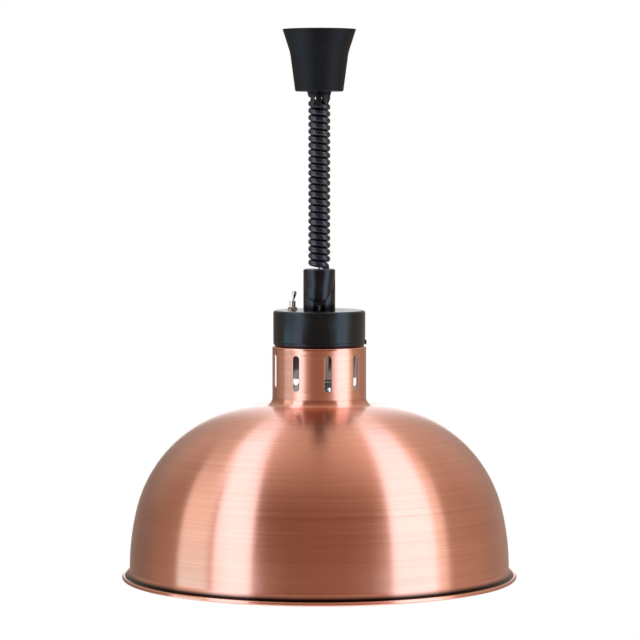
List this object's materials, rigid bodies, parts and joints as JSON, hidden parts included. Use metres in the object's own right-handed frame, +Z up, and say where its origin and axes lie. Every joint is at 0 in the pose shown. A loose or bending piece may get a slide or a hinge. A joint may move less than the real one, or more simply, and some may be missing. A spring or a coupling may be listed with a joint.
{
  "type": "heat lamp warmer",
  "caption": "Pull-down heat lamp for keeping food warm: ceiling cup with a spring reel, curly flex, black cap with a toggle switch, and a wide copper dome shade.",
  "frame": {"origin": "on the ceiling plane, on the line of the suspension cord", "axes": "+Z up into the ceiling, -Y the front as the switch is to the left of the sleeve, +X to the right"},
  "size_m": [0.3844, 0.3844, 0.5327],
  "materials": {
    "zinc_steel": "zinc plated",
    "bright_steel": "bright plated",
    "dark_steel": "blackened",
    "spring_steel": "tempered",
    "steel_cord": "fine stranded cord",
    "black_plastic": "satin moulded",
    "grey_plastic": "moulded",
    "white_plastic": "moulded",
    "black_cable": "smooth sheath",
    "black_rubber": "soft satin",
    "brass": "plain",
    "black_metal": "satin black lacquer",
    "copper": "brushed copper plate, lacquered",
    "ceramic": "glazed ceramic",
    "switch_case": "moulded",
    "brown_wire": "insulated",
    "blue_wire": "insulated",
    "green_wire": "insulated",
    "bulb_glass": "hard glass with a mirrored body and a frosted face",
    "clear_glass": "clear",
    "black_glass": "vitrite",
    "solder": "dull",
    "tungsten": "dull wire coil"
  },
  "bodies": {
    "ceiling": {"ceiling_bracket": "zinc_steel", "canopy_cup": "black_plastic", "canopy_screws": "dark_steel", "frame_rivets": "zinc_steel", "reel_frame": "zinc_steel", "reel_axle": "bright_steel", "balance_spring": "spring_steel", "terminal_block": "white_plastic", "supply_lead": "black_cable", "cord_outlet": "black_rubber", "suspension_cord": "steel_cord", "curly_cord": "black_cable"},
    "reel": {"reel_drum": "grey_plastic", "cord_winding": "steel_cord"},
    "lamp_head": {"grip_sleeve": "black_plastic", "grip_cover": "black_plastic", "grip_core": "grey_plastic", "cord_ferrule": "brass", "grip_flex": "black_cable", "nipple": "zinc_steel", "upper_lock_nut": "bright_steel", "lower_lock_nut": "bright_steel", "head_cap": "black_metal", "cap_lock_screw": "dark_steel", "bridge_strap": "zinc_steel", "bridge_screws": "bright_steel", "shade": "copper", "holder_cup": "bright_steel", "lampholder": "ceramic", "lampholder_screws": "bright_steel", "holder_terminals": "brass", "screw_shell": "brass", "centre_contact": "brass", "switch_body": "switch_case", "switch_washer": "bright_steel", "switch_nut": "bright_steel", "switch_tags": "brass", "live_lead": "brown_wire", "switched_lead": "brown_wire", "neutral_lead": "blue_wire", "earth_lead": "green_wire"},
    "lever": {"switch_lever": "bright_steel"},
    "bulb": {"bulb_glass": "bulb_glass", "bulb_base": "bright_steel", "bulb_insulator": "black_glass", "bulb_contact": "solder", "bulb_stem": "clear_glass", "bulb_filament": "tungsten", "bulb_supports": "spring_steel"}
  },
  "joints": [
    {"name": "head_drop", "type": "slide", "parent": "ceiling", "child": "lamp_head", "axis": [0, 0, -1], "range_m": [0, 0.6], "deforming": ["curly_cord", "suspension_cord"]},
    {"name": "reel_turn", "type": "hinge", "parent": "ceiling", "child": "reel", "pos_m": [-0.0092, 0, -0.026], "axis": [0, 1, 0], "range_deg": [0, 3740]},
    {"name": "switch_flip", "type": "hinge", "parent": "lamp_head", "child": "lever", "pos_m": [-0.026, 0.005, -0.2663], "axis": [0, 1, 0], "range_deg": [-18, 0]},
    {"name": "bulb_out", "type": "slide", "parent": "lamp_head", "child": "bulb", "axis": [0, 0, -1], "range_m": [0, 0.25]}
  ],
  "couplings": [
    {"joint": "reel_turn", "follows": "head_drop", "rad_per_m": 108.7}
  ]
}
